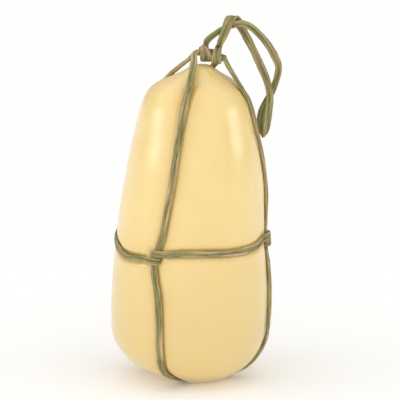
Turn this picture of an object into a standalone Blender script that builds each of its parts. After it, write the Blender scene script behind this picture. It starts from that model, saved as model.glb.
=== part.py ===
"""A stretched-curd cheese of pear form, tied for hanging with flat rush cord.

The moulded cheese is one solid that stands on a small flat spot. Two slings
of rush run down its sides and cross under the base, a waist band is hitched
round every strand of them, and a hanging loop is hitched round the bundle
where the slings meet above the neck.

Metres, +Z up, the front is -Y. The origin is the middle of the tied cheese's
box, without the hanging loop, on the surface that it stands on. An azimuth
is in degrees from the front, positive towards +X.
"""

import math

import bmesh
import bpy
import numpy as np
from mathutils import Matrix, Vector
from mathutils.geometry import intersect_line_line_2d

MM = 0.001
GAP = 0.35 * MM  # left between touching pieces
SEAT_CLEAR = 0.75 * MM  # left under a cord, where both surfaces are made of flat faces

# The cheese
HEIGHT = 242.0 * MM
FLAT_RADIUS = 19.0 * MM
# Radius and height from the flat's edge round the heel, up the side and over the shoulder, in mm
OUTLINE = [
    (23.0, 1.3), (31, 5.0), (39.3, 9.4), (46, 14.3), (51.3, 20.2), (55.5, 27), (58.4, 35), (59.3, 46),
    (59.4, 58), (59.0, 74), (57.9, 90), (56.4, 106), (55.2, 125), (53.4, 144), (51.2, 161),
    (48.7, 176), (44.9, 193), (42.2, 206), (39.6, 215), (34.6, 223.3), (27.5, 229.3),
    (19.0, 234.0), (12.5, 237.6), (8.0, 240.4), (4.0, 241.8),
]  # fmt: skip
# How far the axis stands to +X at each height, in mm
LEAN = [
    (0, 5.0), (6, 2.4), (16, -0.8), (34, -1.9), (60, -1.2), (110, -0.4), (160, 2.4), (205, 3.0),
    (228, 3.8), (242, 7.6),
]  # fmt: skip

# The rush cord
CORD_WIDTH = 5.4 * MM
CORD_THICK = 3.0 * MM
CORD_SIDES = 8
CORD_LIFT = 0.5 * MM  # a strand's middle above the plain surface: the rest of it is sunk
TAUT_BEND = 0.3  # how long a strand bends towards the bundle, as a share of its free length
END_WIDTH = 4.2 * MM  # of a strand where it goes into the bundle
END_THICK = 2.8 * MM
UNDER_THICK = 2.2 * MM  # where the weight has pressed the cord flat
UNDER_LIFT = -1.75 * MM
CROSSING_HUMP = 2.8 * MM  # the side sling goes this much deeper over the other one
CROSSING_REACH = 9.0 * MM
BASE_EDGE = FLAT_RADIUS - 2 * MM  # where a strand's straight run across the base starts
HEEL_HEIGHT = 14.0 * MM  # a strand is pressed deeper and flatter below this height
SEAT_WIDTH = 4.9 * MM  # of the narrow channel that a cord lies in
FURROW_WIDTH = 9.0 * MM  # of the broad, soft furrow around it

# Azimuth of each strand at some heights, in mm and degrees
STRANDS = {
    "front": [(0, -25), (12, -25), (34, -21.5), (73, -23.5), (101, -28), (110, -26), (122, -22.8),
              (157, -19.2), (193, -15.6), (226, -12), (242, -11)],
    "right": [(0, 82), (17, 82), (60, 81), (104, 84), (150, 86), (190, 84.5), (215, 79), (228, 76),
              (242, 75)],
    "back": [(0, 155), (60, 155), (110, 157), (150, 160), (228, 166), (242, 168)],
    "left": [(0, 246), (60, 242), (110, 240), (190, 238), (228, 236), (242, 240)],
}  # fmt: skip
# How far a strand's middle stands above the plain surface at some heights, in mm
LIFTS = {
    "right": [(30, 1.2), (60, 1.5), (90, 1.2), (99, 0.5), (118, 0.5), (150, 1.4), (190, 1.2), (242, 1.0)],
    "other": [(0, 0.5), (185, 0.5), (206, -0.8), (226, -2.4), (242, -2.4)],
}
# The cheese's own grid: columns beside every strand, in mm, and between one strand and the next
COLUMNS_AT = (-9, -6, -4, -2.2, 0, 2.2, 4, 6, 9)
COLUMNS_BETWEEN = {"front": 8, "right": 4, "back": 7, "left": 4}
# Where each strand leaves the cheese for the bundle
LEAVES_AT = {"front": 226 * MM, "right": 226 * MM, "back": 227 * MM, "left": 228 * MM}

# Depth of the broad furrow at each height, in mm, and the share of it along a strand that lies looser
FURROW_SHARE = {"right": 0.15}
FURROW = [(0, 0.0), (8, 0.2), (30, 0.4), (100, 0.7), (170, 1.0), (205, 1.9), (222, 3.0), (232, 2.6),
          (240, 0.5)]  # fmt: skip

# The waist band
BAND_THICK = 2.6 * MM
BAND_LIFT = 0.3 * MM  # its middle above the plain surface
BAND_STEP = 7.0  # degrees from one of its rows to the next
TURN_BAND_THICK = 2.3 * MM  # where it goes round a strand
# Where a turn comes down beside the strand: how far sideways, in mm, and its share of the full lift
TURN_COMES_DOWN = [(7.2, 0.34), (4.2, 0.84)]
PINCHED_WIDTH = 4.0 * MM  # a strand inside a hitch
PINCHED_THICK = 2.3 * MM
PINCH_REACH = 7.0 * MM
HITCH_RISE = 5.7 * MM  # from one pass of the band to the next
HITCH_GAP = 0.65 * MM  # between a strand and the band's turn round it
HITCH_CLEAR = 9.5  # degrees beside a strand where the turn's own rows take over
# Height of the pass where the band arrives, and which way it goes on from there
HITCHES = {"left": (106.2 * MM, 1), "front": (103.0 * MM, 1), "right": (112.0 * MM, -1)}
# Azimuth and height of the band's middle, in degrees and mm
BAND_HEIGHTS = [
    (157, 108.0), (190, 107.0), (229, 106.2), (250, 111.9), (269, 109.8), (280, 106.8), (290, 103.9),
    (298, 101.9), (306, 101.9), (316, 102.4), (325, 103.0), (343, 108.8), (360, 109.9), (378, 109.2),
    (388, 108.3), (408, 108.0), (418, 108.6), (436, 112.0), (453, 106.3), (475, 106.5), (517, 108.0),
]  # fmt: skip
KNOT_HALF_ANGLE = 5.2  # of the waist knot, in degrees
KNOT_RISE = 4.2 * MM  # the band's ends rise this much over the strand to meet the knot
KNOT_RISE_ANGLE = 6.0  # degrees beside the knot where they do so
KNOT_SIZE = (4.7 * MM, 3.9 * MM, 2.5 * MM)  # half its width, height and depth

# The bundle above the neck, where the slings meet, and the hitch of the hanging loop round it
BUNDLE_LEFT = Vector((5.6, -1.0, 249.8)) * MM
BUNDLE_RIGHT = Vector((22.2, -0.6, 247.6)) * MM
BUNDLE_RADIUS = 3.4 * MM
TURN_PLACES = (0.30, 0.76)  # along the bundle
TURN_WIDTH = 6.6 * MM
TURN_THICK = 2.4 * MM
TURN_SUNK = 0.3 * MM  # a turn's edge in the bundle
STRAND_ENDS = {
    "front": Vector((2.9, -3.3, 251.2)) * MM,
    "left": Vector((3.4, 1.6, 249.2)) * MM,
    "right": Vector((24.0, -1.9, 246.7)) * MM,
    "back": Vector((24.0, 3.2, 247.4)) * MM,
}

# The hanging loop
LOOP_DIAMETER = 5.4 * MM
LOOP_POINTS = 79
LOOP_ROUTE = [
    (10.2, 2.8, 257.2), (13.2, 2.6, 260.7), (17.6, 3.0, 264.2), (24.4, 2.6, 268.6), (31.0, 0.0, 271.4),
    (37.1, -2.8, 273.2), (43.2, -2.5, 271.2), (49.6, -1.0, 265.6), (56.6, 0.5, 257.2), (62.0, 2.0, 247.8),
    (65.2, 3.0, 239.0), (64.1, 3.6, 231.4), (60.6, 3.9, 221.0), (56.2, 3.9, 212.2), (52.8, 3.9, 204.6),
    (51.8, 4.3, 197.8), (52.6, 4.2, 191.2), (54.7, 1.2, 187.4), (55.7, -1.7, 190.8), (56.6, -2.9, 197.5),
    (57.6, -3.2, 206.0), (58.7, -2.8, 217.0), (56.4, -2.2, 229.6), (52.0, -1.0, 240.0), (47.0, 0.4, 250.8),
    (41.8, 2.2, 260.8), (37.8, 3.4, 268.0), (33.6, 2.4, 274.8), (30.6, 0.0, 277.9), (28.0, -2.2, 274.4),
    (25.4, -3.4, 268.0), (23.0, -2.6, 261.8), (21.2, 1.0, 257.2),
]  # fmt: skip

COLOURS = {
    "cheese": (0.89, 0.72, 0.36),
    "slings": (0.34, 0.32, 0.14),
    "band": (0.38, 0.34, 0.16),
    "knots": (0.42, 0.35, 0.18),
    "loop": (0.30, 0.30, 0.11),
}


def smooth_values(x, pairs, unit=1.0):
    """The value at x of a smooth curve through pairs of x and value, which never swings past a pair."""
    xs, ys = np.array(pairs, float).T
    xs = xs * MM
    rises = np.diff(ys) / np.diff(xs)
    before, after = rises[:-1], rises[1:]
    same_way = before * after > 0
    inner = np.where(same_way, 2 * before * after / np.where(same_way, before + after, 1), 0)
    slopes = np.concatenate([rises[:1], inner, rises[-1:]])
    x = np.clip(np.asarray(x, float), xs[0], xs[-1])
    i = np.clip(np.searchsorted(xs, x) - 1, 0, len(xs) - 2)
    width = xs[i + 1] - xs[i]
    t = (x - xs[i]) / width
    start = (1 + 2 * t) * (1 - t) ** 2 * ys[i] + t * (1 - t) ** 2 * width * slopes[i]
    end = t**2 * (3 - 2 * t) * ys[i + 1] + t**2 * (t - 1) * width * slopes[i + 1]
    return (start + end) * unit


def smooth_route(rows, step, dims=3):
    """Rows about step apart on a smooth curve through the given ones; dims columns are the place."""
    rows = np.asarray(rows, float)
    along = np.concatenate([[0], np.cumsum(np.linalg.norm(np.diff(rows[:, :dims], axis=0), axis=1))])
    slopes = np.gradient(rows, along, axis=0)
    fine = np.linspace(0, along[-1], 20 * len(rows))
    i = np.clip(np.searchsorted(along, fine) - 1, 0, len(along) - 2)
    width = (along[i + 1] - along[i])[:, None]
    t = ((fine - along[i]) / width[:, 0])[:, None]
    curve = (
        (1 + 2 * t) * (1 - t) ** 2 * rows[i]
        + t * (1 - t) ** 2 * width * slopes[i]
        + t**2 * (3 - 2 * t) * rows[i + 1]
        + t**2 * (t - 1) * width * slopes[i + 1]
    )
    length = np.concatenate([[0], np.cumsum(np.linalg.norm(np.diff(curve[:, :dims], axis=0), axis=1))])
    stations = np.linspace(0, length[-1], max(2, round(length[-1] / step) + 1))
    return np.stack([np.interp(stations, length, column) for column in curve.T], axis=1)


def profile():
    """Radius and height at every step, from the middle of the base to the top of the neck."""
    side = smooth_route([(FLAT_RADIUS, 0), *(np.array(OUTLINE) * MM), (0, HEIGHT)], PROFILE_STEP, dims=2)
    line = np.concatenate([[(0, 0)], side])
    length = np.concatenate([[0], np.cumsum(np.linalg.norm(np.diff(line, axis=0), axis=1))])
    stations = np.arange(0, length[-1], PROFILE_STEP)
    return np.stack([np.interp(stations, length, column) for column in line.T], axis=1)


PROFILE_STEP = 0.5 * MM
PROFILE = profile()
PROFILE_NORMAL = np.stack([np.gradient(PROFILE[:, 1]), -np.gradient(PROFILE[:, 0])], axis=1)
PROFILE_NORMAL /= np.linalg.norm(PROFILE_NORMAL, axis=1)[:, None]
SIDE_STARTS = int(FLAT_RADIUS / PROFILE_STEP) + 1


def station_of(height):
    """The profile's length up to a height above the base."""
    return PROFILE_STEP * np.interp(height, PROFILE[SIDE_STARTS:, 1], np.arange(SIDE_STARTS, len(PROFILE)))


def place(azimuth, station):
    """The place, outward normal, sideways and upward directions of the plain surface."""
    index = np.asarray(station) / PROFILE_STEP
    steps = np.arange(len(PROFILE))
    r, z = (np.interp(index, steps, column) for column in PROFILE.T)
    nr, nz = (np.interp(index, steps, column) for column in PROFILE_NORMAL.T)
    s, c = np.sin(np.radians(azimuth)), np.cos(np.radians(azimuth))
    point = np.stack([smooth_values(z, LEAN, MM) + r * s, -r * c, z], axis=-1)
    out = np.stack([nr * s, -nr * c, nz], axis=-1)
    sideways = np.stack([c, s, 0 * s], axis=-1) * np.ones_like(point)
    return point, out, sideways, np.cross(out, sideways)


def height_of(station):
    """The height of the profile at a length along it."""
    return np.interp(station / PROFILE_STEP, np.arange(len(PROFILE)), PROFILE[:, 1])


def strand_azimuth(name, station):
    """The azimuth of a strand's middle at a length along the profile."""
    return smooth_values(height_of(station), STRANDS[name])


def pinch(name, height):
    """1 where a strand goes through its hitch, falling to 0 beside it."""
    if name not in HITCHES:
        return 0 * height
    low, way = HITCHES[name]
    middle = low + way * HITCH_RISE / 2
    return np.exp(-(((height - middle) / PINCH_REACH) ** 4))


def strand(name):
    """Rows of place, width direction, width and thickness, from the base's edge up to the bundle."""
    stations = np.arange(BASE_EDGE, station_of(LEAVES_AT[name]), 8 * MM)
    if name in HITCHES:
        low, way = HITCHES[name]
        middle = station_of(low + way * HITCH_RISE / 2)
        near = middle + np.array([-10, -6, -3, 0, 3, 6, 10]) * MM
        stations = np.sort(np.concatenate([stations[abs(stations - middle) > 14 * MM], near]))
    height = height_of(stations)
    point, out, sideways, _ = place(strand_azimuth(name, stations), stations)
    sunk = np.clip(1 - height / HEEL_HEIGHT, 0, 1) ** 2
    lift = smooth_values(height, LIFTS.get(name, LIFTS["other"]), MM)
    lift = lift + (UNDER_LIFT - lift) * sunk
    tight = pinch(name, height)
    width = CORD_WIDTH + (PINCHED_WIDTH - CORD_WIDTH) * tight
    thick = CORD_THICK + (UNDER_THICK - CORD_THICK) * sunk + (PINCHED_THICK - CORD_THICK) * tight
    rows = np.column_stack([point + lift[:, None] * out, sideways, width, thick])
    last, end = rows[-1], np.array(STRAND_ENDS[name])
    onward = last[:3] - rows[-2, :3]
    bend = last[:3] + onward / np.linalg.norm(onward) * np.linalg.norm(end - last[:3]) * TAUT_BEND
    tail = []
    for t in (0.3, 0.6, 1.0):
        at = (1 - t) ** 2 * last[:3] + 2 * t * (1 - t) * bend + t**2 * end
        tail.append([*at, *last[3:6], CORD_WIDTH, CORD_THICK])
    tail[-1][6:] = END_WIDTH, END_THICK
    return np.concatenate([rows, tail])


def base_end(name):
    """Where a strand's straight run across the base starts."""
    return Vector(place(strand_azimuth(name, BASE_EDGE), BASE_EDGE)[0][:2])


def under_base(start, end, hump):
    """Rows straight across the flat, between the two strands of a sling."""
    share = np.linspace(0, 1, 9)[1:-1, None]
    rows = start * (1 - share) + end * share
    crossing = intersect_line_line_2d(*(base_end(name) for name in ("front", "back", "right", "left")))
    near = np.exp(-((np.linalg.norm(rows[:, :2] - np.array(crossing), axis=1) / CROSSING_REACH) ** 2))
    rows[:, 2] = -UNDER_LIFT + hump * near
    rows[:, 6:] = CORD_WIDTH, UNDER_THICK
    return rows


def sling(first, second, hump):
    """A whole sling: down one strand, under the base and up the other."""
    down, up = strand(first), strand(second)
    up[:, 3:6] *= -1
    return np.concatenate([down[::-1], under_base(down[0], up[0], hump), up])


def seats_under(rows):
    """Where the plain surface is nearest to a cord along it, and how deep it is pressed in there."""
    far = np.concatenate([[0], np.cumsum(np.linalg.norm(np.diff(rows[:, :3], axis=0), axis=1))])
    stations = np.arange(0, far[-1], 1.5 * MM)
    x, y, z, thick = (np.interp(stations, far, rows[:, k]) for k in (0, 1, 2, 7))
    surface_height = z
    for _ in range(3):
        across = x - smooth_values(surface_height, LEAN, MM)
        r = np.hypot(across, y)
        nearest = ((r[:, None] - PROFILE[:, 0]) ** 2 + (z[:, None] - PROFILE[:, 1]) ** 2).argmin(axis=1)
        surface_height = PROFILE[nearest, 1]
    point, out, _, _ = place(np.degrees(np.arctan2(across, -y)), nearest * PROFILE_STEP)
    lift = ((np.column_stack([x, y, z]) - point) * out).sum(axis=1)
    return np.column_stack([point, thick / 2 + SEAT_CLEAR - lift])


def band():
    """The waist band's rows, once round the waist with a full turn round three of the strands."""
    azimuths, heights = np.array(BAND_HEIGHTS).T
    start, end = azimuths[0] + KNOT_HALF_ANGLE, azimuths[-1] - KNOT_HALF_ANGLE
    hitch_azimuth = {}
    for name, (low, way) in HITCHES.items():
        at = smooth_values(low + way * HITCH_RISE / 2, STRANDS[name])
        hitch_azimuth[name] = float(at) % 360 + (360 if name == "right" else 0)
    rows = []
    order = sorted(HITCHES, key=hitch_azimuth.get)
    edges = [start, *(hitch_azimuth[name] for name in order), end]
    for number, (a, b) in enumerate(zip(edges, edges[1:])):
        a += HITCH_CLEAR if number else 0
        b -= HITCH_CLEAR if number < len(order) else 0
        for azimuth in np.linspace(a, b, max(3, round((b - a) / BAND_STEP))):
            height = np.interp(azimuth, azimuths, heights) * MM
            point, out, _, up = place(azimuth, station_of(height))
            to_knot = min(azimuth - start, end - azimuth)
            lift = BAND_LIFT + KNOT_RISE * np.clip(1 - to_knot / KNOT_RISE_ANGLE, 0, 1) ** 1.5
            rows.append([*(point + lift * out), *up, CORD_WIDTH, BAND_THICK])
        if number < len(order):
            name = order[number]
            low, way = HITCHES[name]
            rows += turn(name, low, way)
    return np.array(rows)


def turn(name, start, way):
    """A full turn round a strand: over it, back behind it and over it again, a band's width further on."""
    rows = []
    half_wide = PINCHED_WIDTH / 2 + TURN_BAND_THICK / 2 + HITCH_GAP
    half_deep = PINCHED_THICK / 2 + TURN_BAND_THICK / 2 + HITCH_GAP
    end = start + way * HITCH_RISE
    middle = (start + end) / 2
    _, out, _, _ = place(smooth_values(middle, STRANDS[name]), station_of(middle))
    above, below = (beside_strand(name, 0.0, middle + side * PINCHED_WIDTH) for side in (1, -1))
    size = (*(above - below), CORD_WIDTH, TURN_BAND_THICK)
    for shift, share in TURN_COMES_DOWN:
        point = beside_strand(name, -shift * MM, start)
        rows.append([*(point + (CORD_LIFT + half_deep * share) * out), *size])
    for psi in np.radians(np.arange(90, -271, -30)):
        turned = min(max(-psi / math.pi, 0), 1)
        height = start + (end - start) * turned**2 * (3 - 2 * turned)
        point = beside_strand(name, half_wide * math.cos(psi), height)
        rows.append([*(point + (CORD_LIFT + half_deep * math.sin(psi)) * out), *size])
    for shift, share in TURN_COMES_DOWN[::-1]:
        point = beside_strand(name, shift * MM, end)
        rows.append([*(point + (CORD_LIFT + half_deep * share) * out), *size])
    return rows


def beside_strand(name, shift, height):
    """A place on the surface's tangent plane at a strand, moved sideways by shift."""
    point, _, side, _ = place(smooth_values(height, STRANDS[name]), station_of(height))
    return point + shift * side


def pressed(points, seats, width, power):
    """How deep the seats press the surface in at each point."""
    far = np.linalg.norm(points[:, None, :] - seats[None, :, :3], axis=2)
    return (np.maximum(seats[:, 3], 0) * np.exp(-((far / width) ** power))).max(axis=1)


def add_object(name, mesh_data, colour, smooth_angle=None):
    """An object with its own material, with its faces pointing out."""
    verts, faces = mesh_data
    mesh = bpy.data.meshes.new(name)
    mesh.from_pydata([tuple(v) for v in verts], [], faces)
    bm = bmesh.new()
    bm.from_mesh(mesh)
    bmesh.ops.recalc_face_normals(bm, faces=bm.faces)
    bm.to_mesh(mesh)
    bm.free()
    mesh.shade_smooth()
    if smooth_angle:
        mesh.set_sharp_from_angle(angle=math.radians(smooth_angle))
    obj = bpy.data.objects.new(name, mesh)
    bpy.context.scene.collection.objects.link(obj)
    obj.data.materials.append(material(name, colour))
    return obj


def material(name, colour):
    """A Principled material with the piece's own colour."""
    made = bpy.data.materials.new(name)
    made.use_nodes = True
    shader = made.node_tree.nodes["Principled BSDF"]
    shader.inputs["Base Color"].default_value = (*COLOURS[colour], 1)
    shader.inputs["Roughness"].default_value = 0.4 if colour == "cheese" else 0.7
    shader.inputs["Metallic"].default_value = 0
    return made


def swept(rows):
    """A flat oval cord along the rows, with closed ends."""
    along = np.gradient(rows[:, :3], axis=0)
    wide = rows[:, 3:6] / np.linalg.norm(rows[:, 3:6], axis=1)[:, None]
    deep = np.cross(along, wide)
    deep /= np.linalg.norm(deep, axis=1)[:, None]
    angles = np.arange(CORD_SIDES) * 2 * math.pi / CORD_SIDES + math.pi / CORD_SIDES
    verts = [
        row[:3] + w * row[6] / 2 * math.cos(a) / math.cos(math.pi / CORD_SIDES)
        + d * row[7] / 2 * math.sin(a) / math.cos(math.pi / CORD_SIDES)
        for row, w, d in zip(rows, wide, deep)
        for a in angles
    ]
    n = CORD_SIDES
    faces = [
        (i * n + j, i * n + (j + 1) % n, (i + 1) * n + (j + 1) % n, (i + 1) * n + j)
        for i in range(len(rows) - 1)
        for j in range(n)
    ]
    faces += [tuple(range(n)), tuple((len(rows) - 1) * n + j for j in range(n))]
    return verts, faces


def furrow_line(name):
    """The broad furrow's middle under a strand, from the base's edge to the neck, with its depth."""
    stations = np.arange(FLAT_RADIUS, station_of(240 * MM), 3 * MM)
    point, _, _, _ = place(strand_azimuth(name, stations), stations)
    return np.column_stack([point, smooth_values(point[:, 2], FURROW, MM) * FURROW_SHARE.get(name, 1.0)])


def cheese_mesh(cords):
    """The cheese as rings of points, closer together along the cords, pressed in under them."""
    names = list(STRANDS)
    stations = np.concatenate(
        [
            np.arange(2.5, 20, 2.5) * MM,
            np.linspace(FLAT_RADIUS, station_of(40 * MM), 13),
            np.linspace(station_of(40 * MM), station_of(93 * MM), 9)[1:],
            np.linspace(station_of(93 * MM), station_of(123 * MM), 13)[1:],
            np.linspace(station_of(123 * MM), station_of(210 * MM), 13)[1:],
            np.linspace(station_of(210 * MM), (len(PROFILE) - 8) * PROFILE_STEP, 14)[1:],
        ]
    )
    verts, outs = [], []
    for station in stations:
        r = np.interp(station / PROFILE_STEP, np.arange(len(PROFILE)), PROFILE[:, 0])
        spread = np.degrees(np.array(COLUMNS_AT) * MM / max(r, 34 * MM))
        at = [float(strand_azimuth(name, station)) for name in names]
        azimuths = []
        for k, name in enumerate(names):
            following = at[k + 1] if k < 3 else at[0] + 360
            azimuths += list(at[k] + spread)
            between = np.linspace(at[k] + spread[-1], following + spread[0], COLUMNS_BETWEEN[name] + 2)
            azimuths += list(between[1:-1])
        point, out, _, _ = place(np.array(azimuths), np.full(len(azimuths), station))
        verts.append(point)
        outs.append(out)
    columns = len(verts[0])
    bottom, _, _, _ = place(0.0, 0.0)
    top, _, _, _ = place(0.0, (len(PROFILE) - 1) * PROFILE_STEP)
    verts = np.concatenate([*verts, [bottom, top]])
    outs = np.concatenate([*outs, [(0, 0, -1), (0, 0, 1)]])
    broad = pressed(verts, np.concatenate([furrow_line(name) for name in names]), FURROW_WIDTH, 2)
    narrow = pressed(verts, np.concatenate([seats_under(rows) for rows in cords]), SEAT_WIDTH, 4)
    verts = verts - np.maximum(broad, narrow)[:, None] * outs
    rings = len(stations)
    faces = [
        (a + j, a + (j + 1) % columns, a + columns + (j + 1) % columns, a + columns + j)
        for a in range(0, (rings - 1) * columns, columns)
        for j in range(columns)
    ]
    low, high = rings * columns, rings * columns + 1
    faces += [(low, (j + 1) % columns, j) for j in range(columns)]
    last = (rings - 1) * columns
    faces += [(high, last + j, last + (j + 1) % columns) for j in range(columns)]
    return verts, faces


def lathed(start, end, radii, sides):
    """Rings round the line from start to end, with a radius for each share of it, closed at both ends."""
    axis = (end - start).normalized()
    across = axis.cross(Vector((0, 1, 0))).normalized()
    verts = []
    for share, radius in radii:
        middle = start.lerp(end, share)
        for k in range(sides):
            spoke = across.copy()
            spoke.rotate(Matrix.Rotation(2 * math.pi * k / sides, 3, axis))
            verts.append(middle + radius * spoke)
    faces = [
        (i * sides + j, i * sides + (j + 1) % sides, (i + 1) * sides + (j + 1) % sides, (i + 1) * sides + j)
        for i in range(len(radii) - 1)
        for j in range(sides)
    ]
    faces += [tuple(range(sides)), tuple((len(radii) - 1) * sides + j for j in range(sides))]
    return verts, faces


def bundle_radii():
    """The bundle's radius at each share of its length, with a rounded hump at each turn of the hitch."""
    half = TURN_WIDTH / 2 / (BUNDLE_RIGHT - BUNDLE_LEFT).length
    radii = [(0.0, BUNDLE_RADIUS * 0.8), (0.03, BUNDLE_RADIUS)]
    for at in TURN_PLACES:
        for angle in range(0, 181, 30):
            hump = TURN_THICK * math.sin(math.radians(angle)) ** 0.7
            radii.append((at - half * math.cos(math.radians(angle)), BUNDLE_RADIUS + hump - TURN_SUNK))
    return radii + [(0.98, BUNDLE_RADIUS), (1.0, BUNDLE_RADIUS * 0.8)]


def waist_knot():
    """The knot that ties the band's two ends together over the back strand."""
    azimuth, height = BAND_HEIGHTS[0]
    point, out, side, up = place(azimuth, station_of(height * MM))
    bm = bmesh.new()
    bmesh.ops.create_uvsphere(bm, u_segments=14, v_segments=8, radius=1)
    middle = point + (CORD_LIFT + CORD_THICK / 2 + 2 * GAP + KNOT_SIZE[2]) * out
    frame = np.column_stack([side * KNOT_SIZE[0], up * KNOT_SIZE[1], out * KNOT_SIZE[2]])
    verts = [middle + frame @ np.array(v.co) for v in bm.verts]
    faces = [tuple(v.index for v in face.verts) for face in bm.faces]
    bm.free()
    return verts, faces


def hanging_loop():
    """The free loop of cord, from one turn of the hitch up, over and back to the other."""
    route = np.array(LOOP_ROUTE) * MM
    length = np.linalg.norm(np.diff(smooth_route(route, 1 * MM), axis=0), axis=1).sum()
    points = smooth_route(route, length / (LOOP_POINTS - 1))
    curve = bpy.data.curves.new("hanging_loop", "CURVE")
    curve.dimensions = "3D"
    curve.bevel_depth = LOOP_DIAMETER / 2
    curve.bevel_resolution = 2
    curve.use_fill_caps = True
    spline = curve.splines.new("POLY")
    spline.points.add(len(points) - 1)
    for point, at in zip(spline.points, points):
        point.co = (*at, 1)
    obj = bpy.data.objects.new("hanging_loop", curve)
    bpy.context.scene.collection.objects.link(obj)
    curve.materials.append(material("hanging_loop", "loop"))


for old in list(bpy.data.objects):
    bpy.data.objects.remove(old, do_unlink=True)

tied = {
    "front_sling": sling("front", "back", 0.0),
    "side_sling": sling("right", "left", CROSSING_HUMP),
    "waist_band": band(),
}
add_object("cheese", cheese_mesh(tied.values()), "cheese")
for cord_name, cord_rows in tied.items():
    add_object(cord_name, swept(cord_rows), "band" if cord_name == "waist_band" else "slings", 50)
add_object("waist_knot", waist_knot(), "knots")
add_object("top_hitch", lathed(BUNDLE_LEFT, BUNDLE_RIGHT, bundle_radii(), 14), "knots", 50)
hanging_loop()
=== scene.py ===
"""A tied stretched-curd cheese: the moulded cheese, the rush cords that it hangs by, and their knots."""

import math

import bmesh
import bpy
import numpy as np
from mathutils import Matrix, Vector
from mathutils.geometry import intersect_line_line_2d
from mathutils.kdtree import KDTree


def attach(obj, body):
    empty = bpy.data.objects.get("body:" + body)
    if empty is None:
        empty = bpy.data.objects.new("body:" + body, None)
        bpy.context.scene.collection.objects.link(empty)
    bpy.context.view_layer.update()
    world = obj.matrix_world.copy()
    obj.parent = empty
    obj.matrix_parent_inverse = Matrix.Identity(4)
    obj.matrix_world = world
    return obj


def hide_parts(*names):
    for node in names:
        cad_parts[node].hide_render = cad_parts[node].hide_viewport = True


MM = 0.001
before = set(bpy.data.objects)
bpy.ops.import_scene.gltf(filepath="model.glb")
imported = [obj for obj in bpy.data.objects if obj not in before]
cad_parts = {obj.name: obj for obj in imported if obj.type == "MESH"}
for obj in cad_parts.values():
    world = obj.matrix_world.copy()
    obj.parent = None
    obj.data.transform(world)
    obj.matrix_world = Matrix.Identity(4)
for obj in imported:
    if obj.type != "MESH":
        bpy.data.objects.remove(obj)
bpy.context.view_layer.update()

# Camera. A long lens a little above the cheese, level with its neck and looking
# slightly down, so that the base shows as a shallow curve.
scene = bpy.context.scene
CAMERA_ELEVATION = math.radians(13.5)
CAMERA_DISTANCE = 3.0
CAMERA_LENS = 358.6
AIM = Vector((6.4, 0.0, 137.5)) * MM
camera_data = bpy.data.cameras.new("camera")
camera_data.lens = CAMERA_LENS
camera_data.sensor_width = 36.0
camera = bpy.data.objects.new("camera", camera_data)
scene.collection.objects.link(camera)
towards_camera = Vector((0, -math.cos(CAMERA_ELEVATION), math.sin(CAMERA_ELEVATION)))
camera.location = AIM + CAMERA_DISTANCE * towards_camera
camera.rotation_euler = towards_camera.to_track_quat("Z", "Y").to_euler()
scene.camera = camera
scene.view_settings.view_transform = "Standard"

# The moulded form. Curd is stretched hot, closed at the neck and hung, which draws it
# into a long pear with a small flat spot under the heel. Everything tied to it follows
# its outline: radius and height in mm, from the flat's edge up to the neck.
FLAT_RADIUS = 19.0 * MM
HEIGHT = 242.0 * MM
OUTLINE = [
    (23.0, 1.3), (31, 5.0), (39.3, 9.4), (46, 14.3), (51.3, 20.2), (55.5, 27), (58.4, 35),
    (59.3, 46), (59.4, 58), (59.0, 74), (57.9, 90), (56.4, 106), (55.2, 125), (53.4, 144),
    (51.2, 161), (48.7, 176), (44.9, 193), (42.2, 206), (39.6, 215), (34.6, 223.3),
    (27.5, 229.3), (19.0, 234.0), (12.5, 237.6), (8.0, 240.4), (4.0, 241.8),
]  # fmt: skip
# How far its axis stands towards +X at a height, both in mm
LEAN = [
    (0, 5.0), (6, 2.4), (16, -0.8), (34, -1.9), (60, -1.2),
    (110, -0.4), (160, 2.4), (205, 3.0), (228, 3.8), (242, 7.6),
]  # fmt: skip
PROFILE_STEP = 0.5 * MM


def lengths_along(points):
    """The length up to each point of a line."""
    return np.concatenate([[0], np.cumsum(np.linalg.norm(np.diff(points, axis=0), axis=1))])


def between(t, width, values, slopes, i):
    """The cubic's value a share t of the way from place i to the next, with the slopes at both."""
    return (
        (1 + 2 * t) * (1 - t) ** 2 * values[i]
        + t * (1 - t) ** 2 * width * slopes[i]
        + t**2 * (3 - 2 * t) * values[i + 1]
        + t**2 * (t - 1) * width * slopes[i + 1]
    )


def smooth_values(x, pairs, unit=1.0):
    """The value at x of a smooth curve through pairs, x in mm, which never swings past one of them."""
    xs, ys = np.array(pairs, float).T
    xs = xs * MM
    rises = np.diff(ys) / np.diff(xs)
    before, after = rises[:-1], rises[1:]
    same_way = before * after > 0
    inner = np.where(same_way, 2 * before * after / np.where(same_way, before + after, 1), 0)
    slopes = np.concatenate([rises[:1], inner, rises[-1:]])
    x = np.clip(np.asarray(x, float), xs[0], xs[-1])
    i = np.clip(np.searchsorted(xs, x) - 1, 0, len(xs) - 2)
    width = xs[i + 1] - xs[i]
    return between((x - xs[i]) / width, width, ys, slopes, i) * unit


def smooth_route(rows, step, dims=3):
    """Rows about step apart on a smooth curve through rows whose first dims columns are a place."""
    rows = np.asarray(rows, float)
    along = lengths_along(rows[:, :dims])
    slopes = np.gradient(rows, along, axis=0)
    fine = np.linspace(0, along[-1], 20 * len(rows))
    i = np.clip(np.searchsorted(along, fine) - 1, 0, len(along) - 2)
    width = (along[i + 1] - along[i])[:, None]
    curve = between((fine - along[i])[:, None] / width, width, rows, slopes, i)
    length = lengths_along(curve[:, :dims])
    stations = np.linspace(0, length[-1], max(2, round(length[-1] / step) + 1))
    return np.stack([np.interp(stations, length, column) for column in curve.T], axis=1)


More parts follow.
